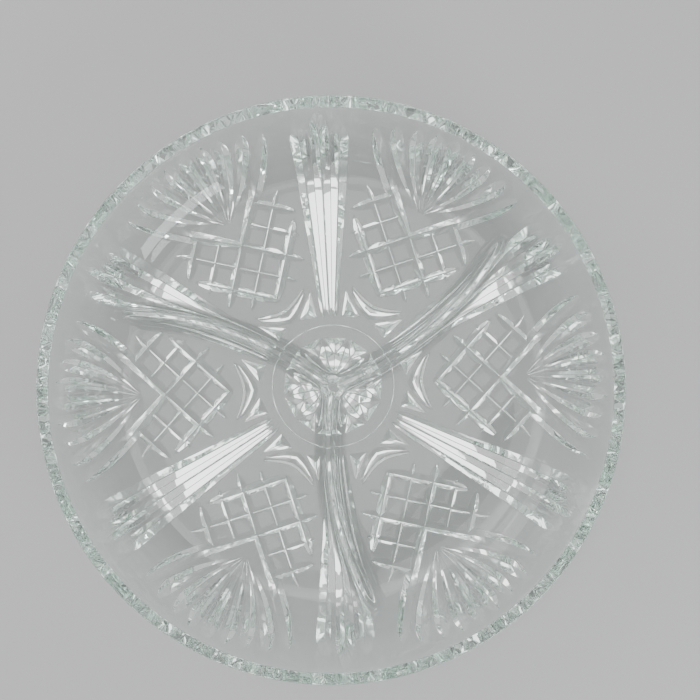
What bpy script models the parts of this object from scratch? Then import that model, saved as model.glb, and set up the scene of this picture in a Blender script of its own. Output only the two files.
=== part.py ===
# A round pressed-glass serving dish with three compartments: one casting.
# The underside and the outside of the wall carry V-shaped grooves in the manner of cut glass.
# The pattern repeats six times: a fan over a square lattice, and a sheaf of three grooves
# between one fan and the next. A twelve-pointed star fills the middle of the underside.
# Metres, +Z up, origin at the centre of the face that it stands on.

import math

import bmesh
import bpy
from mathutils import Matrix, Vector

mm = 0.001

# The dish
rim_radius = 120 * mm
height = 36 * mm
base_radius = 92.5 * mm
floor_height = 7 * mm
recess_radius = 27.9 * mm
recess_depth = 0.6 * mm
turn_steps = 60

# The dividers
divider_height = 22 * mm
divider_bend = 148 * mm
divider_reach = 97 * mm
divider_lead = math.radians(-11.5)

# The pattern
pattern_turn = math.radians(33)
sheaf_spacing = math.radians(4.6)
lattice_corner = 75.4 * mm
lattice_pitch = 10.2 * mm
heavy_width = 4.4 * mm
thin_width = 2.7 * mm
fan_focus = 86.6 * mm
fan_spread = math.radians(16.0)
star_radius = 22.2 * mm
star_node = 13.6 * mm
star_turn = math.radians(12)
facet_slope = math.radians(43)
margin = 1.5 * mm

# Outside of the wall, from the edge of the base up to the rim: radius and height.
outer_wall = [
    (92.5, 0.0),
    (98.4, 2.0),
    (104.6, 7.0),
    (110.4, 14.6),
    (115.2, 23.8),
    (120.0, 35.4),
]

# Inside, from the rim down to the floor.
inner_wall = [
    (114.8, 35.5),
    (110.6, 27.0),
    (105.2, 18.0),
    (98.6, 11.2),
    (91.6, 7.9),
    (84.5, 7.0),
]


def outer_point(x, y):
    """The point of the underside or of the outer wall over x, y, and its outward normal."""
    radius = math.hypot(x, y)
    if radius <= recess_radius:
        return Vector((x, y, recess_depth)), Vector((0, 0, -1))
    if radius <= base_radius:
        return Vector((x, y, 0)), Vector((0, 0, -1))
    corners = [(r * mm, z * mm) for r, z in outer_wall]
    k = 0
    while k < len(corners) - 2 and radius > corners[k + 1][0]:
        k += 1
    (r0, z0), (r1, z1) = corners[k], corners[k + 1]
    part = (radius - r0) / (r1 - r0)
    z = z0 + part * (z1 - z0)

    # The slope is blended between neighbouring faces of the wall.
    def slope(i):
        if i < 0:
            return 0.0
        i = min(i, len(corners) - 2)
        return math.atan2(corners[i + 1][1] - corners[i][1], corners[i + 1][0] - corners[i][0])

    before = 0.5 * (slope(k - 1) + slope(k))
    after = 0.5 * (slope(k) + slope(k + 1))
    tilt = before + part * (after - before)
    out = Vector((x / radius, y / radius, 0))
    return Vector((x, y, z)), out * math.sin(tilt) - Vector((0, 0, 1)) * math.cos(tilt)


def add_section(bm, face, points):
    """Carry a face on to the next section, and leave out the wall between the two."""
    grown = bmesh.ops.extrude_face_region(bm, geom=[face])
    moved = next(item for item in grown["geom"] if isinstance(item, bmesh.types.BMFace))
    for vert, point in zip(moved.verts, points):
        vert.co = point
    return moved


def sweep(bm, sections):
    """A closed solid through a row of sections."""
    first = bm.faces.new([bm.verts.new(point) for point in sections[0]])
    face = first
    for points in sections[1:]:
        grown = add_section(bm, face, points)
        if face is not first:
            bm.faces.remove(face)
        face = grown


def groove(bm, path, widths, slope):
    """Cut a V along a path in plan. Both ends of the V rise to the surface."""
    sections = []
    for k, (x, y) in enumerate(path):
        before = Vector(path[max(k - 1, 0)])
        after = Vector(path[min(k + 1, len(path) - 1)])
        surface, normal = outer_point(x, y)
        along = (after - before).to_3d()
        along = (along - normal * along.dot(normal)).normalized()
        side = along.cross(normal).normalized()
        half = 0.5 * widths[k]
        rise = math.tan(slope)
        wing = side * (half + margin / rise)
        deep = surface - normal * (half * rise - 0.02 * mm)
        lifted = surface + normal * margin
        sections.append((deep, lifted + wing, lifted - wing))
    sweep(bm, sections)


def pit(bm, corners, depth):
    """Cut a three-sided pyramid between three corners in plan."""
    a, b, c = [Vector(corner) for corner in corners]
    la, lb, lc = (b - c).length, (c - a).length, (a - b).length
    middle = (a * la + b * lb + c * lc) / (la + lb + lc)
    surface = outer_point(*middle)[0]
    grow = 1 + margin / depth
    outline = [middle + (corner - middle) * grow for corner in (a, b, c)]
    verts = [bm.verts.new((p.x, p.y, surface.z - margin)) for p in outline]
    verts.append(bm.verts.new((middle.x, middle.y, surface.z + depth)))
    bmesh.ops.convex_hull(bm, input=verts)


def turned(path, angle):
    """A path in plan, turned about the middle of the dish."""
    turn = Matrix.Rotation(angle, 2)
    return [tuple(turn @ Vector(point)) for point in path]


def polar(radius, angle):
    """A point in plan. The angle is counted from +Y, clockwise."""
    return (radius * math.sin(angle), radius * math.cos(angle))


def on_lattice(u, v):
    """A point of the lattice in plan, in steps of its pitch, in the sector about +Y."""
    step = lattice_pitch * math.sqrt(0.5)
    return ((u - v) * step, lattice_corner - (u + v) * step)


def line(start, end, stops):
    """Points along a straight line in plan, at the given shares of its length."""
    a, b = Vector(start), Vector(end)
    return [tuple(a.lerp(b, stop)) for stop in stops]


def sheaf_grooves(bm, angle, which):
    for k in which:
        tip = (117.4 if k == 0 else 115.0) * mm
        radii = [31 * mm, 36 * mm, 92.5 * mm, 98.4 * mm, 104.6 * mm, 110.4 * mm, tip]
        path = [polar(r, k * sheaf_spacing) for r in radii]
        widths = [2.1 * r * math.tan(sheaf_spacing / 2) for r in radii]
        widths[0] = 0.0
        widths[-1] = 0.0
        groove(bm, turned(path, angle), widths, math.radians(38))


def fan_grooves(bm, angle, which):
    tips = {0: (117.3, 0.0), 1: (116.8, 4.3), 2: (115.9, 8.9), 3: (115.3, 13.2)}
    for k in which:
        radius, spread = tips[abs(k)]
        tip = Vector(polar(radius * mm, math.radians(math.copysign(spread, k))))
        focus = Vector((0, fan_focus))
        length = (tip - focus).length
        stops = [0.1, 0.36, 0.58, 0.8, 1.0]
        path = line(focus, tip, stops)
        widths = [2.1 * stop * length * math.tan(fan_spread / 2) for stop in stops]
        widths[-1] = 0.0
        groove(bm, turned(path, angle), widths, math.radians(38))


def lattice_grooves(bm, angle, mirrored):
    """The grooves of the lattice that run one way. The first is also one arm of the fan's guard."""
    guard_tip = (-34.4 * mm, 109.2 * mm)
    corner = on_lattice(0, 0)
    end = on_lattice(2.87, 0)
    heavy = heavy_width
    arm = line(guard_tip, corner, [0.0, 0.16, 0.34, 0.5, 1.0]) + line(corner, end, [0.86, 1.0])
    lines = [(arm, [0, 7.4 * mm, 6.6 * mm, 5.6 * mm, heavy, heavy * 0.7, 0])]
    rows = [
        (2, -1.75, 2.25, heavy),
        (-2, -0.2, 2.1, heavy),
        (1, -2.87, 2.8, thin_width),
        (-1, -0.2, 2.45, thin_width),
    ]
    for v, start, stop, width in rows:
        ends = (on_lattice(start, v), on_lattice(stop, v))
        lines.append((line(*ends, [0.0, 0.12, 0.88, 1.0]), [0, width, width, 0]))
    for path, widths in lines:
        if mirrored:
            path = [(-x, y) for x, y in path]
        groove(bm, turned(path, angle), widths, facet_slope)


def chevron_groove(bm, angle, inner):
    """One of the two nested chevrons between the lattice and the middle of the dish."""
    arm = [(12.4, 42.7), (6.0, 38.2), (0.0, 35.7)] if inner else [(14.4, 45.0), (7.0, 41.0), (0.0, 39.3)]
    path = [(x * mm, y * mm) for x, y in arm]
    path += [(-x, y) for x, y in reversed(path[:-1])]
    widths = [0, 2.2 * mm, 3.2 * mm, 2.2 * mm, 0]
    groove(bm, turned(path, angle), widths, facet_slope)


def chevron_pit(bm, angle, side):
    """The three-sided pit beside the chevrons."""
    corners = [(14.2, 41.0), (3.6, 33.2), (10.6, 30.2)]
    pit(bm, turned([(side * x * mm, y * mm) for x, y in corners], angle), 2.2 * mm)


def star_grooves(bm, which):
    """The rays of the star, and the pits between their points."""
    for k in which:
        angle = star_turn + k * math.radians(30)
        radii = [2 * mm, star_node, star_radius + 0.2 * mm]
        path = [(r, 0) for r in radii]
        width = 2.08 * star_node * math.tan(math.radians(15))
        groove(bm, turned(path, angle), [0.2 * mm, width, 0], math.radians(38))
        corners = [
            (star_node + 1.0 * mm, 0),
            tuple(Matrix.Rotation(math.radians(13.2), 2) @ Vector((star_radius, 0))),
            tuple(Matrix.Rotation(math.radians(-13.2), 2) @ Vector((star_radius, 0))),
        ]
        pit(bm, turned(corners, angle + math.radians(15)), 2.1 * mm)


def turn_profile(bm, profile, steps):
    """Turn a half section about the upright axis into a closed solid."""
    verts = [bm.verts.new((r, 0, z)) for r, z in profile]
    edges = [bm.edges.new(pair) for pair in zip(verts, verts[1:])]
    bmesh.ops.spin(
        bm,
        geom=verts + edges,
        cent=(0, 0, 0),
        axis=(0, 0, 1),
        angle=math.tau,
        steps=steps,
        use_merge=True,
    )
    bmesh.ops.remove_doubles(bm, verts=bm.verts[:], dist=0.00001)


def make_object(name, bm):
    """An object of a finished bmesh, with its faces pointing out."""
    bmesh.ops.recalc_face_normals(bm, faces=bm.faces[:])
    mesh = bpy.data.meshes.new(name)
    bm.to_mesh(mesh)
    bm.free()
    obj = bpy.data.objects.new(name, mesh)
    bpy.context.collection.objects.link(obj)
    return obj


def make_helper(name, bm):
    """An object that only cuts or joins, kept out of the finished part."""
    obj = make_object(name, bm)
    obj.hide_render = True
    obj.display_type = "WIRE"
    return obj


def add_boolean(body, other, operation):
    modifier = body.modifiers.new(other.name, "BOOLEAN")
    modifier.object = other
    modifier.operation = operation
    modifier.solver = "EXACT"
    # Neighbouring grooves overlap in the air below the surface.
    modifier.use_self = operation == "DIFFERENCE"


def make_body():
    """The dish without its dividers and grooves."""
    outline = [(0.0, recess_depth), (recess_radius - 0.5 * mm, recess_depth), (recess_radius, 0.0)]
    outline += [(r * mm, z * mm) for r, z in outer_wall]
    outline += [(rim_radius - 0.6 * mm, height), (115.4 * mm, height)]
    outline += [(r * mm, z * mm) for r, z in inner_wall]
    outline.append((0.0, floor_height))
    bm = bmesh.new()
    turn_profile(bm, outline, turn_steps)
    return make_object("dish", bm)


def inner_height(radius):
    """Height of the floor or of the inner wall."""
    height_here = floor_height
    for (r1, z1), (r0, z0) in zip(inner_wall, inner_wall[1:]):
        if r0 * mm < radius:
            height_here = (z0 + (radius / mm - r0) / (r1 - r0) * (z1 - z0)) * mm
            break
    return height_here


def divider_section(ground, top, taper):
    """Half widths and heights across a divider. Its foot flares into the ground it stands on."""
    rise = top - ground
    return [
        (8.6 * mm * taper, ground - 1.0 * mm),
        (7.0 * mm * taper, ground + 0.01 * rise),
        (4.4 * mm * taper, ground + 0.11 * rise),
        (2.6 * mm, ground + 0.36 * rise),
        (1.75 * mm, ground + 0.74 * rise),
        (1.3 * mm, ground + 0.95 * rise),
        (0.5 * mm, top),
    ]


def add_divider(bm, angle):
    """One divider: an arc in plan, upright at the middle and sloping into the wall at its end."""
    stops = [(share, divider_height, 1.0) for share in (-0.03, 0.17, 0.34, 0.51, 0.68, 0.83)]
    stops += [(0.9, 21.8 * mm, 1.0), (0.95, 21.0 * mm, 0.93), (0.99, 19.4 * mm, 0.84)]
    stops += [(1.03, 17.0 * mm, 0.74), (1.07, 14.8 * mm, 0.64)]
    sections = []
    for share, top, taper in stops:
        turn = share * divider_reach / divider_bend
        heading = angle + divider_lead + turn
        x = divider_bend * (math.sin(heading) - math.sin(angle + divider_lead))
        y = -divider_bend * (math.cos(heading) - math.cos(angle + divider_lead))
        side = Vector((-math.sin(heading), math.cos(heading), 0))
        half = divider_section(inner_height(math.hypot(x, y)), top, taper)
        ring = [Vector((x, y, z)) + side * w for w, z in half]
        ring += [Vector((x, y, z)) - side * w for w, z in reversed(half)]
        sections.append(ring)
    sweep(bm, sections)


def add_hub(bm):
    """The rounded mass where the three dividers meet."""
    profile = [(0, 6 * mm), (12.5 * mm, 6 * mm), (11.0 * mm, 7.15 * mm), (8.0 * mm, 8.7 * mm)]
    profile += [(5.6 * mm, 12.4 * mm), (4.4 * mm, 17.0 * mm), (3.2 * mm, 20.6 * mm)]
    profile += [(2.0 * mm, 21.7 * mm), (0, 22.1 * mm)]
    turn_profile(bm, profile, 24)


def glass():
    material = bpy.data.materials.new("clear_glass")
    material.use_nodes = True
    shader = material.node_tree.nodes["Principled BSDF"]
    shader.inputs["Base Color"].default_value = (0.86, 0.92, 0.89, 1)
    shader.inputs["Roughness"].default_value = 0.04
    shader.inputs["Metallic"].default_value = 0.0
    shader.inputs["Transmission Weight"].default_value = 0.9
    shader.inputs["IOR"].default_value = 1.5
    return material


for old in list(bpy.data.objects):
    bpy.data.objects.remove(old)

dish = make_body()

# The three dividers stand over every other sheaf.
hub = bmesh.new()
add_hub(hub)
add_boolean(dish, make_helper("hub_join", hub), "UNION")
for k in range(3):
    ridge = bmesh.new()
    add_divider(ridge, pattern_turn + k * math.radians(120))
    add_boolean(dish, make_helper(f"divider_join_{k + 1}", ridge), "UNION")

# The grooves are cut in two rounds, so that no cutter holds two grooves that cross.
for second in (False, True):
    cutter = bmesh.new()
    for k in range(6):
        sheaf = pattern_turn - math.radians(90) + k * math.radians(60)
        fan = sheaf + math.radians(30)
        sheaf_grooves(cutter, sheaf, (-1, 1) if second else (0,))
        fan_grooves(cutter, fan, (-3, -1, 1, 3) if second else (-2, 0, 2))
        lattice_grooves(cutter, fan, mirrored=second)
        chevron_groove(cutter, fan, inner=second)
        chevron_pit(cutter, fan, 1 if second else -1)
    star_grooves(cutter, range(int(second), 12, 2))
    add_boolean(dish, make_helper(f"groove_cutter_{int(second) + 1}", cutter), "DIFFERENCE")

dish.data.materials.append(glass())
dish.data.shade_smooth()
dish.data.set_sharp_from_angle(angle=math.radians(32))
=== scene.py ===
import math

import bmesh
import bpy
from mathutils import Matrix, Vector


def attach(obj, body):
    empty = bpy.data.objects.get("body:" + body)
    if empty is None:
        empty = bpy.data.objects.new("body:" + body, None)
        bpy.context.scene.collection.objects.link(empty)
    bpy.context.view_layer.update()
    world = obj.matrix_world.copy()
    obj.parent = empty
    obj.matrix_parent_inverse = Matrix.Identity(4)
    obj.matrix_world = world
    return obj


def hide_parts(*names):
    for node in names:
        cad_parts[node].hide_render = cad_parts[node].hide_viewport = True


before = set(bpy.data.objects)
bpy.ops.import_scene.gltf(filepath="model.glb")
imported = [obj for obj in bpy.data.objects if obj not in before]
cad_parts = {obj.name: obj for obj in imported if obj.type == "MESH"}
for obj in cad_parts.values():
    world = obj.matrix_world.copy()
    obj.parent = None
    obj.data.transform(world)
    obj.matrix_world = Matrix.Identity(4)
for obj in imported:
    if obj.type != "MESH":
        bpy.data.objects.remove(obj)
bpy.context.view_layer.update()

mm = 0.001
scene = bpy.context.scene

dishShape = {
    "baseRadius": 92.5 * mm,
    "recessRadius": 27.9 * mm,
    "recessDepth": 0.6 * mm,
    "floorHeight": 7.0 * mm,
    "floorRadius": 84.5 * mm,
    "steps": 288,  # round the dish, a multiple of 72
    "turn": math.radians(33),  # direction of the first sheaf and of the first divider
    # radius and height up the outside, then down the inside
    "outerWall": [(92.5, 0.0), (98.4, 2.0), (104.6, 7.0),
                  (110.4, 14.6), (115.2, 23.8), (119.4, 34.0)],
    "rim": [(119.78, 35.1), (119.88, 35.6), (119.8, 35.88), (119.5, 36.0), (117.3, 36.0),
            (115.2, 36.0), (114.92, 35.9), (114.78, 35.65), (114.68, 35.2)],
    "innerWall": [(114.6, 34.9), (110.6, 27.0), (105.2, 18.0),
                  (98.6, 11.2), (91.6, 7.9), (84.5, 7.0)],
    "wallRings": (85, 114),  # first and last ring of the inner wall, one to a millimetre
    "baseSeam": 24,  # steps between the seams that stay on the flat base
}

dividerShape = {
    "height": 22.0 * mm,
    "bend": 148.0 * mm,  # radius of the arc in plan
    "lead": math.radians(-11.5),  # heading at the middle, from the sheaf's direction
    "fallFrom": 90.0 * mm,  # along the arc, where the top begins to sink into the wall
    "fallTo": 106.0 * mm,
    "crest": 1.95 * mm,  # half width of the upright part
    "foot": 4.0 * mm,  # half width of the flare
    "hub": 4.0 * mm,
    "crestShare": 0.83,  # of the height, carried by the upright part
    "flareShare": 0.17,
    "hold": (99 * mm, 113 * mm),  # radii between which the columns stop following the arcs
    "gather": 9.5 * mm,
}

grooveCut = {
    "slope": math.radians(45.5),  # of a facet, steep enough to throw the light back up
    "wallSlope": math.radians(37),  # of the same facet once it has climbed the wall
    "lip": 0.30 * mm,
    "lipSlope": 0.36,
    "valley": 0.24 * mm,
    "margin": 0.6 * mm,  # how far a cutter stands out of the glass
    "climb": (88 * mm, 104 * mm),  # radii between which one slope turns into the other
    "leastHalf": 0.03 * mm,
    "fullEase": 0.9 * mm,  # half width from which lip and valley have their full size
    "lipRun": 0.12 * mm,
    "endLift": 0.06 * mm,
    "pitEase": 0.14 * mm,
}


def catmull(points, perSpan):
    # a smooth run through the points, which are all kept
    run = []
    for k in range(len(points) - 1):
        p1, p2 = Vector(points[k]), Vector(points[k + 1])
        p0 = Vector(points[k - 1]) if k else p1 - (p2 - p1)
        p3 = Vector(points[k + 2]) if k + 2 < len(points) else p2 + (p2 - p1)
        for step in range(perSpan):
            t = step / perSpan
            run.append(0.5 * (2 * p1 + (p2 - p0) * t + (2 * p0 - 5 * p1 + 4 * p2 - p3) * t * t
                              + (3 * p1 - p0 - 3 * p2 + p3) * t * t * t))
    run.append(Vector(points[-1]))
    return run


def smoothStep(low, high, value):
    t = min(max((value - low) / (high - low), 0.0), 1.0)
    return t * t * (3 - 2 * t)


def readRun(run, radius):
    # height and slope of a profile at a radius, where the run's radii only grow
    k = 0
    while k < len(run) - 2 and radius > run[k + 1].x:
        k += 1
    a, b = run[k], run[k + 1]
    share = (radius - a.x) / (b.x - a.x)
    tilt = math.atan2(b.y - a.y, b.x - a.x)
    before = math.atan2(a.y - run[k - 1].y, a.x - run[k - 1].x) if k else 0.0
    after = tilt
    if k + 2 < len(run):
        after = math.atan2(run[k + 2].y - b.y, run[k + 2].x - b.x)
    blended = 0.5 * ((before + tilt) * (1 - share) + (tilt + after) * share)
    return a.y + share * (b.y - a.y), blended


outerRun = [point * mm for point in catmull(dishShape["outerWall"], 5)]
innerRun = [point * mm for point in catmull(dishShape["innerWall"], 6)]
innerRising = list(reversed(innerRun))


def undersidePoint(x, y):
    # where a point of the plan lies on the underside, and which way the glass faces there
    radius = math.hypot(x, y)
    if radius <= dishShape["recessRadius"]:
        return Vector((x, y, dishShape["recessDepth"])), Vector((0, 0, -1))
    if radius <= dishShape["baseRadius"]:
        return Vector((x, y, 0)), Vector((0, 0, -1))
    z, tilt = readRun(outerRun, radius)
    lean = math.sin(tilt)
    return Vector((x, y, z)), Vector((x / radius * lean, y / radius * lean, -math.cos(tilt)))


def sweepSections(bm, sections):
    # a first face, extruded from section to section
    first = bm.faces.new([bm.verts.new(point) for point in sections[0]])
    face = first
    for points in sections[1:]:
        grown = bmesh.ops.extrude_face_region(bm, geom=[face])
        moved = next(item for item in grown["geom"] if isinstance(item, bmesh.types.BMFace))
        for vert, point in zip(moved.verts, points):
            vert.co = point
        if face is not first:
            bm.faces.remove(face)
        face = moved


def cutGroove(bm, path, widths, slope):
    # a V with eased lips and an eased valley, along a path in plan
    sections = []
    for k, (x, y) in enumerate(path):
        before, after = Vector(path[max(k - 1, 0)]), Vector(path[min(k + 1, len(path) - 1)])
        surface, normal = undersidePoint(x, y)
        along = (after - before).to_3d()
        along = (along - normal * along.dot(normal)).normalized()
        side = along.cross(normal).normalized()
        half = max(0.5 * widths[k], grooveCut["leastHalf"])
        climb = smoothStep(*grooveCut["climb"], math.hypot(x, y))
        rise = math.tan(slope + (grooveCut["wallSlope"] - slope) * climb)
        ease = min(1.0, half / grooveCut["fullEase"])
        lip, valley = grooveCut["lip"] * ease, grooveCut["valley"] * ease
        shoulder = grooveCut["lipSlope"] * lip / (rise - grooveCut["lipSlope"])
        deep = (half - valley) * rise
        lift = grooveCut["endLift"] if widths[k] == 0 else 0.0
        run = grooveCut["lipRun"]
        margin = min(grooveCut["margin"], 0.25 * mm + half)
        outline = [
            (half + lip + run + margin, margin),
            (half + lip + run, run * grooveCut["lipSlope"]),
            (half - shoulder, -shoulder * rise),
            (valley, -deep),
        ]
        full = outline + [(0.0, -deep - 0.4 * valley)] + [(-u, v) for u, v in reversed(outline)]
        sections.append([surface + side * u + normal * (v + lift) for u, v in full])
    sweepSections(bm, sections)


def cutPit(bm, corners, depth):
    # a three-sided pit, with its three valleys eased
    a, b, c = [Vector(corner) for corner in corners]
    la, lb, lc = (b - c).length, (c - a).length, (a - b).length
    middle = (a * la + b * lb + c * lc) / (la + lb + lc)
    surface = undersidePoint(*middle)[0]
    grow = 1 + grooveCut["margin"] / depth
    verts = []
    for corner in (a, b, c):
        point = middle + (corner - middle) * grow
        verts.append(bm.verts.new((point.x, point.y, surface.z - grooveCut["margin"])))
    bottom = bm.verts.new((middle.x, middle.y, surface.z + depth))
    bmesh.ops.convex_hull(bm, input=verts + [bottom])
    hull = set(verts + [bottom])
    sides = [face for face in bm.faces if hull.issuperset(face.verts)]
    bmesh.ops.recalc_face_normals(bm, faces=sides)
    valleys = list(bottom.link_edges)
    bmesh.ops.bevel(bm, geom=valleys + [bottom], offset=grooveCut["pitEase"], affect="EDGES",
                    segments=1, profile=0.5, material=-1)


def turnPath(path, angle):
    turn = Matrix.Rotation(angle, 2)
    return [tuple(turn @ Vector(point)) for point in path]


def polar(radius, angle):
    # clockwise from +Y
    return radius * math.sin(angle), radius * math.cos(angle)


def spacedLine(start, end, stops):
    a, b = Vector(start), Vector(end)
    return [tuple(a.lerp(b, stop)) for stop in stops]


sheafCut = {
    "spacing": math.radians(4.6),
    "from": 31.0 * mm,
    "tips": (117.6 * mm, 115.2 * mm),  # middle groove, outer grooves
    "arch": 9.0 * mm,
    "archShares": (0.7, 0.62),  # of that length, for the middle groove and the outer ones
}

fanCut = {
    "focus": 86.6 * mm,
    "spread": (0.0, 16.0, 31.6, 46.2),  # degrees off the fan's axis
    "tips": (117.5, 117.0, 116.2, 115.5),
    "halfAngle": math.radians(8.0),
    "arch": 4.6 * mm,
    "from": 0.05,  # share of a groove's reach where it begins
    "outermost": 0.94,  # how wide the two outermost are, as a share
}

latticeCut = {
    "corner": 75.4 * mm,
    "pitch": 10.2 * mm,
    "heavy": 4.7 * mm,
    "thin": 3.1 * mm,
    "guardTip": (-34.9 * mm, 108.9 * mm),
    "guardWidth": 7.6 * mm,
    "guardBow": 0.8 * mm,
    # row, where it starts and stops along the lattice, whether it is heavy, its inner taper
    "rows": ((2, -1.8, 2.25, True, 0.9), (-2, -0.1, 2.12, True, 0.3),
             (1, -2.87, 2.8, False, 0.8), (-1, -0.1, 2.5, False, 0.3)),
}

starCut = {
    "turn": math.radians(12),
    "node": 13.6 * mm,
    "tip": 22.2 * mm,
    "slope": math.radians(46),
    "pitSpread": math.radians(13.4),
    "pitDepth": 2.4 * mm,
}

# a groove's pointed end: the share of its length gone, and the share of its width left
archShape = ((1.0, 0.0), (0.9, 0.38), (0.72, 0.66), (0.5, 0.86), (0.25, 0.97), (0.0, 1.0))


def cutSheaf(bm, angle, which):
    for k in which:
        tip = sheafCut["tips"][abs(k)]
        arch = sheafCut["arch"] * sheafCut["archShares"][abs(k)]
        start = sheafCut["from"] + (0.0 if k else 0.8 * mm)
        radii = [start, start + 0.8 * mm, start + 2.0 * mm, start + 3.6 * mm]
        radii += [40 * mm, 52 * mm, 66 * mm, 80 * mm]
        radii += [88 * mm + step * (tip - arch - 88 * mm) / 10 for step in range(10)]
        shares = [0.0, 0.42, 0.8, 1.0] + [1.0] * 14
        radii += [tip - arch * (1 - along) for along, _ in reversed(archShape)]
        shares += [share for _, share in reversed(archShape)]
        spread = math.tan(sheafCut["spacing"] / 2)
        widths = [2 * r * spread * share for r, share in zip(radii, shares)]
        path = [polar(r, k * sheafCut["spacing"]) for r in radii]
        cutGroove(bm, turnPath(path, angle), widths, grooveCut["slope"])


def fanTip(k):
    # where a groove of the fan ends: on a circle round the dish, out from the focus
    heading = math.radians(math.copysign(fanCut["spread"][abs(k)], k))
    radius, focus = fanCut["tips"][abs(k)] * mm, fanCut["focus"]
    reach = -focus * math.cos(heading) + math.sqrt(radius ** 2 - (focus * math.sin(heading)) ** 2)
    return heading, reach


def cutFan(bm, angle, which):
    for k in which:
        heading, reach = fanTip(k)
        arch, start = fanCut["arch"], fanCut["from"] * reach
        stops = [start + step * (reach - arch - start) / 12 for step in range(12)]
        shares = [1.0] * 12
        shares[0] = 0.6
        stops += [reach - arch * (1 - along) for along, _ in reversed(archShape)]
        shares += [share for _, share in reversed(archShape)]
        spread = math.tan(fanCut["halfAngle"])
        widths = [2 * stop * spread * share for stop, share in zip(stops, shares)]
        if abs(k) == 3:
            widths = [width * fanCut["outermost"] for width in widths]
        focus = fanCut["focus"]
        path = [(stop * math.sin(heading), focus + stop * math.cos(heading)) for stop in stops]
        cutGroove(bm, turnPath(path, angle), widths, grooveCut["slope"])


def onLattice(u, v):
    # a point of the lattice in plan, in steps of its pitch
    step = latticeCut["pitch"] * math.sqrt(0.5)
    return (u - v) * step, latticeCut["corner"] - (u + v) * step


def cutLattice(bm, angle, mirrored):
    # the lines that run one way; the first runs on as one arm of the guard under the fan
    heavy, thin = latticeCut["heavy"], latticeCut["thin"]
    tip, corner = latticeCut["guardTip"], onLattice(0, 0)
    armStops = [0.0, 0.02, 0.05, 0.09, 0.14, 0.19, 0.25,
                0.31, 0.37, 0.43, 0.49, 0.55, 0.7, 1.0]
    armShares = [0.0, 0.4, 0.68, 0.88, 0.97, 1.0, 0.98,
                 0.95, 0.92, 0.89, 0.86, 0.82, 0.7, 0.57]
    path = spacedLine(tip, corner, armStops)
    bow = latticeCut["guardBow"]
    path = [(x + bow * math.sin(math.pi * min(stop / 0.55, 1.0)), y)
            for (x, y), stop in zip(path, armStops)]
    widths = [latticeCut["guardWidth"] * share for share in armShares]
    path += spacedLine(corner, onLattice(2.87, 0), [0.5, 0.7, 0.8, 0.88, 0.95, 1.0])
    widths += [heavy * share for share in (1.0, 1.0, 0.82, 0.6, 0.32, 0.0)]
    lines = [(path, widths)]
    for v, start, stop, isHeavy, inner in latticeCut["rows"]:
        a, b = onLattice(start, v), onLattice(stop, v)
        length = stop - start
        width, outer = (heavy, 0.9) if isHeavy else (thin, 0.8)
        stops = [0.0, 0.3 * inner / length, 0.65 * inner / length, inner / length, 0.5]
        stops += [1 - outer / length, 1 - 0.65 * outer / length, 1 - 0.3 * outer / length, 1.0]
        shares = [0.0, 0.5, 0.85, 1.0, 1.0, 1.0, 0.85, 0.5, 0.0]
        lines.append((spacedLine(a, b, stops), [width * share for share in shares]))
    for path, widths in lines:
        if mirrored:
            path = [(-x, y) for x, y in path]
        cutGroove(bm, turnPath(path, angle), widths, grooveCut["slope"])


chevronCut = {
    "width": 3.3 * mm,
    "innerArm": [(12.6, 43.0), (11.2, 41.8), (9.0, 40.2), (6.0, 38.2), (3.0, 36.7), (0.0, 35.7)],
    "outerArm": [(13.8, 44.9), (12.2, 43.8), (9.8, 42.4), (6.6, 40.9), (3.2, 39.8), (0.0, 39.3)],
    "pit": [(14.6, 41.4), (3.4, 33.4), (10.8, 29.8)],
    "pitDepth": 2.7 * mm,
}


def cutChevron(bm, angle, inner):
    # one bent groove, from the tip of one arm round to the tip of the other
    arm = chevronCut["innerArm" if inner else "outerArm"]
    path = [(x * mm, y * mm) for x, y in arm]
    path += [(-x, y) for x, y in reversed(path[:-1])]
    shares = [0.0, 0.42, 0.68, 0.86, 0.96, 1.0]
    shares += list(reversed(shares[:-1]))
    widths = [chevronCut["width"] * share for share in shares]
    cutGroove(bm, turnPath(path, angle), widths, grooveCut["slope"])


def cutChevronPits(bm, angle):
    for side in (-1, 1):
        corners = [(side * x * mm, y * mm) for x, y in chevronCut["pit"]]
        cutPit(bm, turnPath(corners, angle), chevronCut["pitDepth"])


def cutStarRays(bm, which):
    for k in which:
        angle = starCut["turn"] + k * math.radians(30)
        node, tip = starCut["node"], starCut["tip"]
        wide = 2 * node * math.tan(math.radians(15))
        path = [(r, 0) for r in (2 * mm, 5 * mm, 9 * mm, node, node + 4 * mm, tip)]
        widths = [wide * share for share in (2 / 13.6, 5 / 13.6, 9 / 13.6, 0.98, 0.53, 0.0)]
        cutGroove(bm, turnPath(path, angle), widths, starCut["slope"])


def cutStarPits(bm):
    for k in range(12):
        angle = starCut["turn"] + (k + 0.5) * math.radians(30)
        tip = starCut["tip"] + 0.2 * mm
        out = tip * math.cos(starCut["pitSpread"])
        aside = tip * math.sin(starCut["pitSpread"])
        corners = [(starCut["node"] + 0.8 * mm, 0), (out, aside), (out, -aside)]
        cutPit(bm, turnPath(corners, angle), starCut["pitDepth"])


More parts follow.
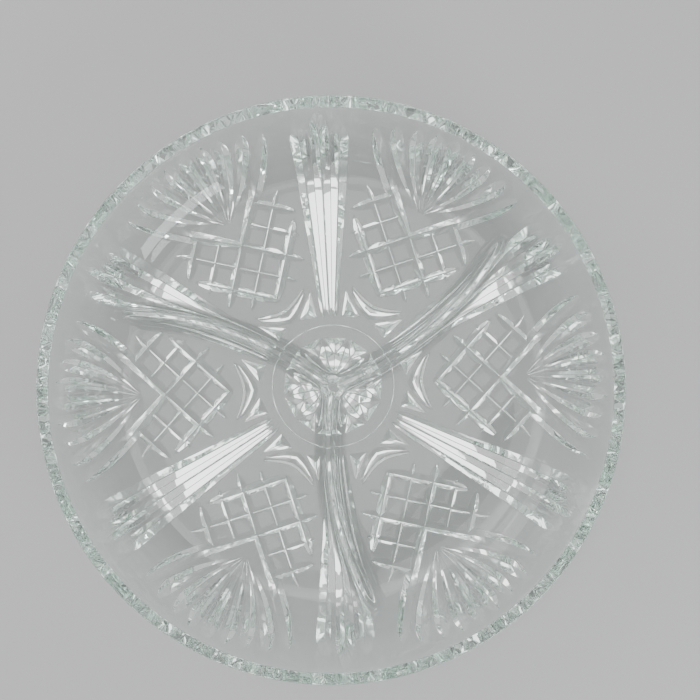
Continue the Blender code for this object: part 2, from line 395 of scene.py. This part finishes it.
def dividerShare(x, y):
    # how far a point stands up from the floor towards the dividers' top, from 0 to 1
    left = 1.0
    for k in range(3):
        heading = dishShape["turn"] + k * math.radians(120) + dividerShape["lead"]
        bend = dividerShape["bend"]
        cx, cy = -bend * math.sin(heading), bend * math.cos(heading)
        away = math.hypot(x - cx, y - cy) - bend
        along = bend * math.atan2(x * math.cos(heading) + y * math.sin(heading),
                                  bend - (-x * math.sin(heading) + y * math.cos(heading)))
        if along < 0:
            away = math.hypot(x, y)
        fall = 1 - smoothStep(dividerShape["fallFrom"], dividerShape["fallTo"], along)
        crest = 1 / (1 + (abs(away) / dividerShape["crest"]) ** 6)
        flare = 1 / (1 + (abs(away) / dividerShape["foot"]) ** 4)
        upright = dividerShape["crestShare"] * crest + dividerShape["flareShare"] * flare
        left *= 1 - fall * upright
    left *= 1 - 1 / (1 + (math.hypot(x, y) / dividerShape["hub"]) ** 6)
    return 1 - left


def floorRise(radius):
    if radius <= dishShape["floorRadius"]:
        return dishShape["floorHeight"]
    return readRun(innerRising, radius)[0]


def shapeInside(bm, insideLayer):
    # gather the columns at the dividers, bend them along the arcs, and raise the dividers
    for vert in bm.verts:
        if vert[insideLayer] < 0.5:
            continue
        x, y = vert.co.x, vert.co.y
        radius = math.hypot(x, y)
        if radius < 1e-7:
            vert.co.z = dividerShape["height"]
            continue
        turnSoFar = math.atan2(y, x) - dishShape["turn"]
        third = round(turnSoFar / math.radians(120))
        offset = (turnSoFar - third * math.radians(120)) / math.radians(60)
        hold = 1 - smoothStep(*dividerShape["hold"], radius)
        gather = 1 / (1 + radius / dividerShape["gather"])
        gather = gather * hold + 1 - hold
        offset *= gather + (1 - gather) * offset * offset
        swing = (dividerShape["lead"] + math.asin(radius / (2 * dividerShape["bend"]))) * hold
        angle = dishShape["turn"] + third * math.radians(120) + swing + offset * math.radians(60)
        vert.co.x, vert.co.y = radius * math.cos(angle), radius * math.sin(angle)
        ground = floorRise(radius)
        raised = dividerShare(vert.co.x, vert.co.y)
        vert.co.z = ground + (dividerShape["height"] - ground) * raised


def castDish():
    shape = dishShape
    radii = [0.5 * mm * k for k in range(1, 20)]
    radii += [10 * mm + 1.55 * mm * k for k in range(48)]
    inside = [Vector((r, shape["floorHeight"])) for r in radii]
    first, last = shape["wallRings"]
    for ring in range(first, last + 1):
        radius = Vector((ring * mm, 0)).x
        inside.append(Vector((radius, floorRise(radius))))
    outside = [Vector((shape["recessRadius"] - 0.55 * mm, shape["recessDepth"])),
               Vector((shape["recessRadius"] - 0.4 * mm, shape["recessDepth"] - 0.08 * mm)),
               Vector((shape["recessRadius"] - 0.1 * mm, 0.08 * mm)),
               Vector((shape["recessRadius"] + 0.1 * mm, 0))] + outerRun
    rim = [Vector(point) * mm for point in shape["rim"]]
    section = outside + rim + list(reversed(inside))
    bm = bmesh.new()
    insideLayer = bm.verts.layers.float.new("inside")
    direction = Vector((math.cos(shape["turn"]), math.sin(shape["turn"]), 0))
    verts = [bm.verts.new(direction * point.x + Vector((0, 0, point.y))) for point in section]
    for vert in verts[len(outside) + len(rim):]:
        vert[insideLayer] = 1.0
    middle = bm.verts.new((0, 0, shape["floorHeight"]))
    middle[insideLayer] = 1.0
    verts.append(middle)
    edges = [bm.edges.new(pair) for pair in zip(verts, verts[1:])]
    bmesh.ops.spin(bm, geom=verts + edges, cent=(0, 0, 0), axis=(0, 0, 1), angle=math.tau,
                   steps=shape["steps"], use_merge=True)
    bmesh.ops.remove_doubles(bm, verts=bm.verts[:], dist=0.000001)
    openEdges = [edge for edge in bm.edges if edge.is_boundary]
    bmesh.ops.holes_fill(bm, edges=openEdges, sides=0)

    # the flat base needs only a few long seams
    step = math.tau / shape["steps"]
    seams = []
    for edge in bm.edges:
        a, b = [vert.co for vert in edge.verts]
        if abs(a.z) > 1e-6 or abs(b.z) > 1e-6 or edge.calc_length() < 20 * mm:
            continue
        if round((math.atan2(a.y, a.x) - shape["turn"]) / step) % shape["baseSeam"]:
            seams.append(edge)
    bmesh.ops.dissolve_edges(bm, edges=seams, use_verts=False)
    shapeInside(bm, insideLayer)
    bmesh.ops.recalc_face_normals(bm, faces=bm.faces[:])
    return bm


def makeObject(name, bm):
    mesh = bpy.data.meshes.new(name)
    bm.to_mesh(mesh)
    bm.free()
    obj = bpy.data.objects.new(name, mesh)
    scene.collection.objects.link(obj)
    return obj


def buildRelief():
    # four rounds of cutters, so that no round holds two cuts that meet
    rounds = [bmesh.new() for _ in range(4)]
    for k in range(6):
        sheaf = dishShape["turn"] - math.radians(90) + k * math.radians(60)
        fan = sheaf + math.radians(30)
        cutFan(rounds[0], fan, (-2, 0, 2))
        cutFan(rounds[2], fan, (-3, -1, 1, 3))
        cutSheaf(rounds[0], sheaf, (0,))
        cutSheaf(rounds[1], sheaf, (-1, 1))
        cutLattice(rounds[0], fan, False)
        cutLattice(rounds[1], fan, True)
        cutChevron(rounds[1], fan, False)
        cutChevron(rounds[2], fan, True)
        cutChevronPits(rounds[3], fan)
    cutStarRays(rounds[0], range(0, 12, 2))
    cutStarRays(rounds[1], range(1, 12, 2))
    cutStarPits(rounds[2])
    return rounds


def carve(body, rounds):
    # cuts every round in turn, then keeps the carved mesh itself
    cutters = []
    for k, bm in enumerate(rounds):
        cutter = makeObject(f"reliefCutter{k + 1}", bm)
        cut = body.modifiers.new(cutter.name, "BOOLEAN")
        cut.object, cut.operation, cut.solver = cutter, "DIFFERENCE", "EXACT"
        cutters.append(cutter)
    graph = bpy.context.evaluated_depsgraph_get()
    carved = bpy.data.meshes.new_from_object(body.evaluated_get(graph))
    body.modifiers.clear()
    blank, body.data = body.data, carved
    bpy.data.meshes.remove(blank)
    for cutter in cutters:
        bpy.data.objects.remove(cutter)
    bm = bmesh.new()
    bm.from_mesh(carved)
    bmesh.ops.remove_doubles(bm, verts=bm.verts[:], dist=0.004 * mm)
    bmesh.ops.dissolve_degenerate(bm, edges=bm.edges[:], dist=0.002 * mm)
    bmesh.ops.holes_fill(bm, edges=[edge for edge in bm.edges if edge.is_boundary], sides=12)
    bmesh.ops.recalc_face_normals(bm, faces=bm.faces[:])
    print("open edges left:", sum(len(edge.link_faces) != 2 for edge in bm.edges))
    bm.to_mesh(carved)
    bm.free()


glassDish = makeObject("glassDish", castDish())
print("casting:", len(glassDish.data.polygons), "faces")
carve(glassDish, buildRelief())
print("relief cut:", len(glassDish.data.polygons), "faces")
glassDish.data.shade_smooth()
glassDish.data.set_sharp_from_angle(angle=math.radians(30))
weigh = glassDish.modifiers.new("weighFaces", "WEIGHTED_NORMAL")
weigh.keep_sharp = True
weigh.weight = 60

glassFinish = {
    "tint": (0.975, 1.0, 0.987, 1),
    "depthTint": (0.60, 0.82, 0.72, 1),
    "depthDensity": 6.5,
    "ior": 1.51,
    "roughness": (0.004, 0.075),  # clean glass, wiped and scratched glass
    "rippleHeight": 0.05 * mm,
}


def newGroup(name, outputName):
    # a node group with one value going out, reading the piece's own coordinates
    group = bpy.data.node_groups.new(name, "ShaderNodeTree")
    group.interface.new_socket(name=outputName, in_out="OUTPUT", socket_type="NodeSocketFloat")
    place = group.nodes.new("ShaderNodeTexCoord")
    return group, place.outputs["Object"], group.nodes.new("NodeGroupOutput")


def addNode(group, kind, settings=None, values=None):
    node = group.nodes.new(kind)
    for name, value in (settings or {}).items():
        setattr(node, name, value)
    for name, value in (values or {}).items():
        node.inputs[name].default_value = value
    return node


def handlingMarks():
    # wipe marks in broad patches, and a few fine scratches within them
    group, place, out = newGroup("handlingMarks", "Marks")
    link = group.links.new
    patches = addNode(group, "ShaderNodeTexNoise",
                      values={"Scale": 22.0, "Detail": 4.0, "Roughness": 0.6})
    link(place, patches.inputs["Vector"])
    smear = addNode(group, "ShaderNodeMapRange",
                    values={"From Min": 0.52, "From Max": 0.78, "To Max": 0.45})
    link(patches.outputs["Fac"], smear.inputs["Value"])
    turned = addNode(group, "ShaderNodeMapping",
                     values={"Rotation": (0.0, 0.0, 0.7), "Scale": (14.0, 160.0, 30.0)})
    link(place, turned.inputs["Vector"])
    hairs = addNode(group, "ShaderNodeTexNoise",
                    values={"Scale": 3.0, "Detail": 2.0, "Distortion": 0.6})
    link(turned.outputs["Vector"], hairs.inputs["Vector"])
    fine = addNode(group, "ShaderNodeMapRange",
                   values={"From Min": 0.66, "From Max": 0.70, "To Max": 0.8})
    link(hairs.outputs["Fac"], fine.inputs["Value"])
    both = addNode(group, "ShaderNodeMath", {"operation": "MAXIMUM"})
    link(smear.outputs["Result"], both.inputs[0])
    link(fine.outputs["Result"], both.inputs[1])
    link(both.outputs["Value"], out.inputs["Marks"])
    return group


def pressedRipple():
    # the slow waviness that the mould leaves, with a finer chill grain on top
    group, place, out = newGroup("pressedRipple", "Height")
    link = group.links.new
    slow = addNode(group, "ShaderNodeTexNoise", values={"Scale": 75.0, "Detail": 1.0})
    fine = addNode(group, "ShaderNodeTexNoise", values={"Scale": 420.0, "Detail": 2.0})
    link(place, slow.inputs["Vector"])
    link(place, fine.inputs["Vector"])
    share = addNode(group, "ShaderNodeMath", {"operation": "MULTIPLY"})
    share.inputs[1].default_value = 0.08
    link(fine.outputs["Fac"], share.inputs[0])
    both = addNode(group, "ShaderNodeMath", {"operation": "ADD"})
    link(slow.outputs["Fac"], both.inputs[0])
    link(share.outputs["Value"], both.inputs[1])
    link(both.outputs["Value"], out.inputs["Height"])
    return group


def pressedGlass():
    material = bpy.data.materials.new("clearPressedGlass")
    material.use_nodes = True
    tree = material.node_tree
    shader = tree.nodes["Principled BSDF"]
    shader.inputs["Base Color"].default_value = glassFinish["tint"]
    shader.inputs["IOR"].default_value = glassFinish["ior"]
    shader.inputs["Transmission Weight"].default_value = 1.0
    marks = addNode(tree, "ShaderNodeGroup", {"node_tree": handlingMarks()})
    clean, worn = glassFinish["roughness"]
    dull = addNode(tree, "ShaderNodeMapRange", values={"To Min": clean, "To Max": worn})
    tree.links.new(marks.outputs["Marks"], dull.inputs["Value"])
    tree.links.new(dull.outputs["Result"], shader.inputs["Roughness"])
    ripple = addNode(tree, "ShaderNodeGroup", {"node_tree": pressedRipple()})
    bump = addNode(tree, "ShaderNodeBump",
                   values={"Strength": 0.5, "Distance": glassFinish["rippleHeight"]})
    tree.links.new(ripple.outputs["Height"], bump.inputs["Height"])
    tree.links.new(bump.outputs["Normal"], shader.inputs["Normal"])
    absorb = addNode(tree, "ShaderNodeVolumeAbsorption",
                     values={"Color": glassFinish["depthTint"],
                             "Density": glassFinish["depthDensity"]})
    tree.links.new(absorb.outputs["Volume"], tree.nodes["Material Output"].inputs["Volume"])
    return material


glassDish.data.materials.clear()
glassDish.data.materials.append(pressedGlass())
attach(glassDish, "root")
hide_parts("dish")

studio = {
    "floorColour": (0.52, 0.52, 0.525, 1),
    "world": 0.8,
    "cameraPlace": (7.7 * mm, 16.3 * mm, 321 * mm),
    "lens": 36.1,
    "floorDrop": 0.2 * mm,  # keeps the floor off the dish's base
    "bounces": 32,  # the light goes round inside the rim many times
    "glossyBounces": 16,
}


def layFloor():
    bm = bmesh.new()
    bmesh.ops.create_grid(bm, x_segments=1, y_segments=1, size=12.0)
    floor = makeObject("paleFloor", bm)
    floor.location.z = -studio["floorDrop"]
    material = bpy.data.materials.new("paleFloorPaint")
    material.use_nodes = True
    shader = material.node_tree.nodes["Principled BSDF"]
    shader.inputs["Base Color"].default_value = studio["floorColour"]
    shader.inputs["Roughness"].default_value = 0.7
    floor.data.materials.append(material)


def softBox(name, place, target, size, power, tint=(1, 1, 1)):
    light = bpy.data.lights.new(name, "AREA")
    light.shape, light.size, light.size_y = "RECTANGLE", size[0], size[1]
    light.energy, light.color = power, tint
    obj = bpy.data.objects.new(name, light)
    obj.location = place
    obj.rotation_euler = (Vector(target) - Vector(place)).to_track_quat("-Z", "Y").to_euler()
    scene.collection.objects.link(obj)


layFloor()
softBox("overheadSoftBox", (-0.1, 0.1, 1.3), (0, 0, 0), (1.0, 1.0), 7)
softBox("windowSoftBox", (0.55, -0.7, 0.36), (0, 0, 0.02), (0.4, 0.3), 3.5, (0.94, 0.97, 1.0))
softBox("sideSoftBox", (-0.85, 0.5, 0.5), (0, 0, 0), (0.5, 0.5), 2, (1.0, 0.97, 0.93))
world = bpy.data.worlds.new("studioWorld")
world.use_nodes = True
world.node_tree.nodes["Background"].inputs["Color"].default_value = (1, 1, 1, 1)
world.node_tree.nodes["Background"].inputs["Strength"].default_value = studio["world"]
scene.world = world

camera = bpy.data.objects.new("tableCamera", bpy.data.cameras.new("tableCamera"))
camera.data.lens = studio["lens"]
camera.data.sensor_width = 36.0
camera.data.clip_start = 0.01
camera.location = studio["cameraPlace"]
scene.collection.objects.link(camera)
scene.camera = camera
scene.cycles.max_bounces = studio["bounces"]
scene.cycles.transmission_bounces = studio["bounces"]
scene.cycles.glossy_bounces = studio["glossyBounces"]
print("studio set")
